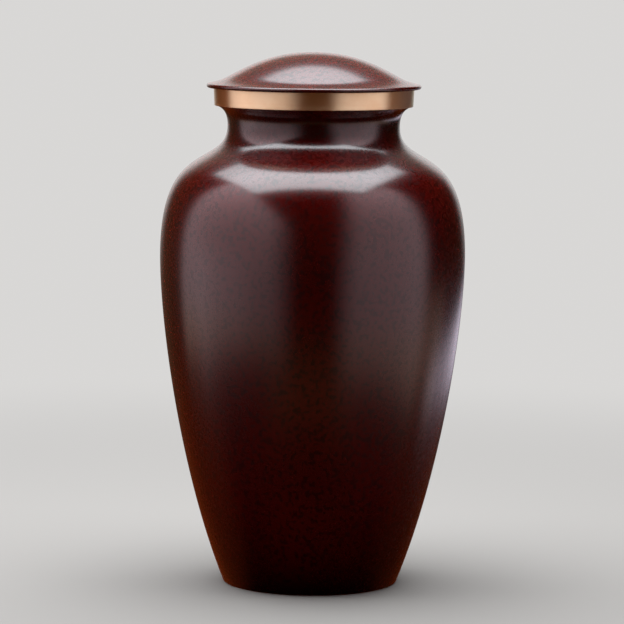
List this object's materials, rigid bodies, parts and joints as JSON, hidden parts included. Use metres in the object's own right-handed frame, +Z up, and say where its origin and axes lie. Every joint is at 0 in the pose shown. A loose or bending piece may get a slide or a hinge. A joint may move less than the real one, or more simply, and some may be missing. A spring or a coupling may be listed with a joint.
{
  "type": "cremation urn",
  "caption": "Tapered brass cremation urn in dark speckled enamel, with a bare brass collar and a lift-off domed lid.",
  "frame": {"origin": "centre of the underside, on the surface that the urn stands on", "axes": "+Z up along the turning axis, -Y towards the viewer, +X to the viewer's right"},
  "size_m": [0.1524, 0.1524, 0.2659],
  "materials": {
    "enamel": "gloss",
    "turned_brass": "satin"
  },
  "bodies": {
    "root": {"urn_body": "enamel", "lid_collar": "turned_brass", "lid_dome": "enamel"}
  },
  "joints": []
}
